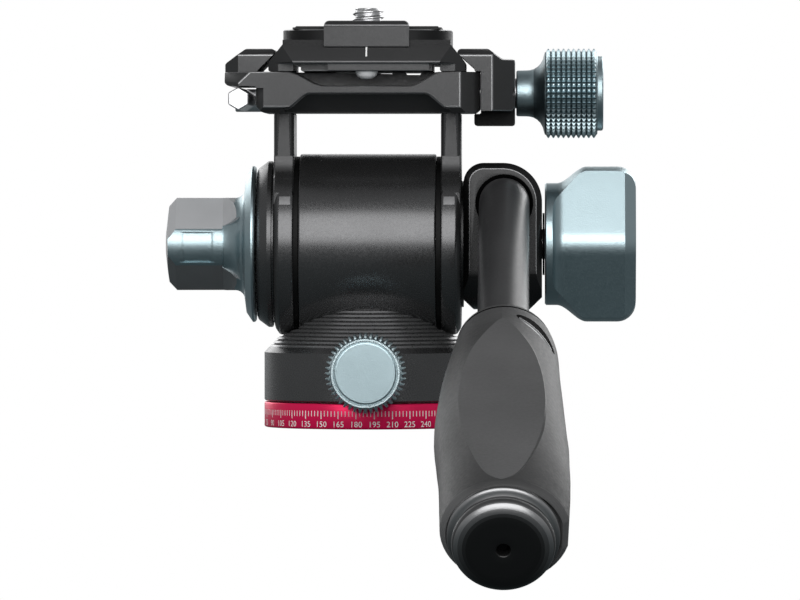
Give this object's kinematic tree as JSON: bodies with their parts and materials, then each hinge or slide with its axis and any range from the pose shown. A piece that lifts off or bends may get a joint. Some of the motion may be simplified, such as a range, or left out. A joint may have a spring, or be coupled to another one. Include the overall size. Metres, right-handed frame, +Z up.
{
  "type": "fluid video head",
  "caption": "Compact fluid video head: pan base with degree ring, damped tilt drum between two arms, screw clamp with sliding dovetail plate, lock knobs and a bent pan handle with rubber grip.",
  "frame": {"origin": "centre of the base's underside, on the axis of the tripod thread", "axes": "+Z up along the pan axis, +X along the tilt axis towards the pan handle's side, -Y towards the operator"},
  "size_m": [0.0939, 0.161, 0.1101],
  "materials": {
    "black_anodised": "satin black anodised over a fine blasted surface, bright thin edge lines",
    "teal_anodised": "pale blue-grey anodised, fine blasted",
    "red_anodised": "crimson anodised, satin, with white engraved scale",
    "steel": "turned steel",
    "bright_steel": "bright plated steel",
    "brass": "turned brass",
    "nylon": "matt nylon",
    "black_nylon": "matt black",
    "grip_rubber": "soft dark grey moulded rubber, fine grain",
    "pad_rubber": "matt black rubber with fine ribs",
    "gloss_black": "glossy black moulded plastic",
    "gloss_black_rod": "semi-gloss black coated tube"
  },
  "bodies": {
    "base": {"base_plate": "black_anodised", "scale_ring": "red_anodised", "thread_bush": "steel", "pan_spindle": "steel", "base_screws": "steel", "glide_ring": "nylon", "thrust_washer": "brass", "pan_nut": "steel"},
    "pan_body": {"pan_housing": "black_anodised", "pan_brake_shoe": "brass", "tilt_drum": "black_anodised", "drum_end_plates": "steel", "damper_stators": "steel", "drum_screws": "steel"},
    "pan_knob": {"pan_lock_knob": "teal_anodised", "pan_lock_screw": "steel"},
    "yoke": {"left_arm": "black_anodised", "right_arm": "black_anodised", "tilt_axle": "steel", "damper_rotors": "steel", "friction_rings": "black_nylon", "drag_cap": "black_anodised", "handle_rosette": "black_anodised", "handle_stud": "steel", "clamp_base": "black_anodised", "arm_screws": "steel", "jaw_guide_pins": "steel"},
    "tilt_knob": {"tilt_lock_knob": "teal_anodised", "tilt_lock_screw": "steel"},
    "handle": {"handle_bracket": "black_anodised", "handle_rod": "gloss_black_rod", "rod_set_screw": "steel", "handle_grip": "grip_rubber", "grip_end_cap": "gloss_black", "grip_screw": "steel"},
    "handle_knob": {"handle_lock_knob": "teal_anodised", "handle_knob_washer": "black_nylon"},
    "jaw": {"moving_jaw": "black_anodised"},
    "jaw_knob": {"clamp_knob": "teal_anodised", "clamp_screw": "steel"},
    "plate": {"dovetail_plate": "black_anodised", "plate_pad": "pad_rubber", "plate_stop_screws": "steel"},
    "stud": {"camera_screw": "bright_steel"},
    "key": {"hex_key": "bright_steel"}
  },
  "joints": [
    {"name": "pan", "type": "hinge", "parent": "base", "child": "pan_body", "pos_m": [0, 0, 0.0113], "axis": [0, 0, 1], "continuous": true},
    {"name": "pan_lock_turn", "type": "hinge", "parent": "pan_body", "child": "pan_knob", "pos_m": [0, -0.025, 0.0113], "axis": [0, -1, 0], "range_deg": [-30, 270]},
    {"name": "tilt", "type": "hinge", "parent": "pan_body", "child": "yoke", "pos_m": [0, 0, 0.0365], "axis": [1, 0, 0], "range_deg": [-90, 75]},
    {"name": "tilt_lock_turn", "type": "hinge", "parent": "yoke", "child": "tilt_knob", "pos_m": [-0.03, 0, 0.0365], "axis": [-1, 0, 0], "range_deg": [-30, 270]},
    {"name": "handle_angle", "type": "hinge", "parent": "yoke", "child": "handle", "pos_m": [0.027, 0, 0.0365], "axis": [1, 0, 0], "range_deg": [-30, 45]},
    {"name": "handle_lock_turn", "type": "hinge", "parent": "yoke", "child": "handle_knob", "pos_m": [0.044, 0, 0.0365], "axis": [1, 0, 0], "range_deg": [-30, 270]},
    {"name": "jaw_slide", "type": "slide", "parent": "yoke", "child": "jaw", "axis": [1, 0, 0], "range_m": [0, 0.004]},
    {"name": "clamp_turn", "type": "hinge", "parent": "jaw", "child": "jaw_knob", "pos_m": [0.04, 0, 0.0666], "axis": [1, 0, 0], "range_deg": [0, 1441]},
    {"name": "plate_slide", "type": "slide", "parent": "yoke", "child": "plate", "axis": [0, 1, 0], "range_m": [-0.007, 0.007]},
    {"name": "camera_screw_turn", "type": "hinge", "parent": "plate", "child": "stud", "pos_m": [0, 0, 0.08], "axis": [0, 0, 1], "continuous": true},
    {"name": "key_pull", "type": "slide", "parent": "yoke", "child": "key", "axis": [0, 1, 0], "range_m": [0, 0.04]}
  ],
  "couplings": [
    {"joint": "clamp_turn", "follows": "jaw_slide", "rad_per_m": 6283.2}
  ]
}
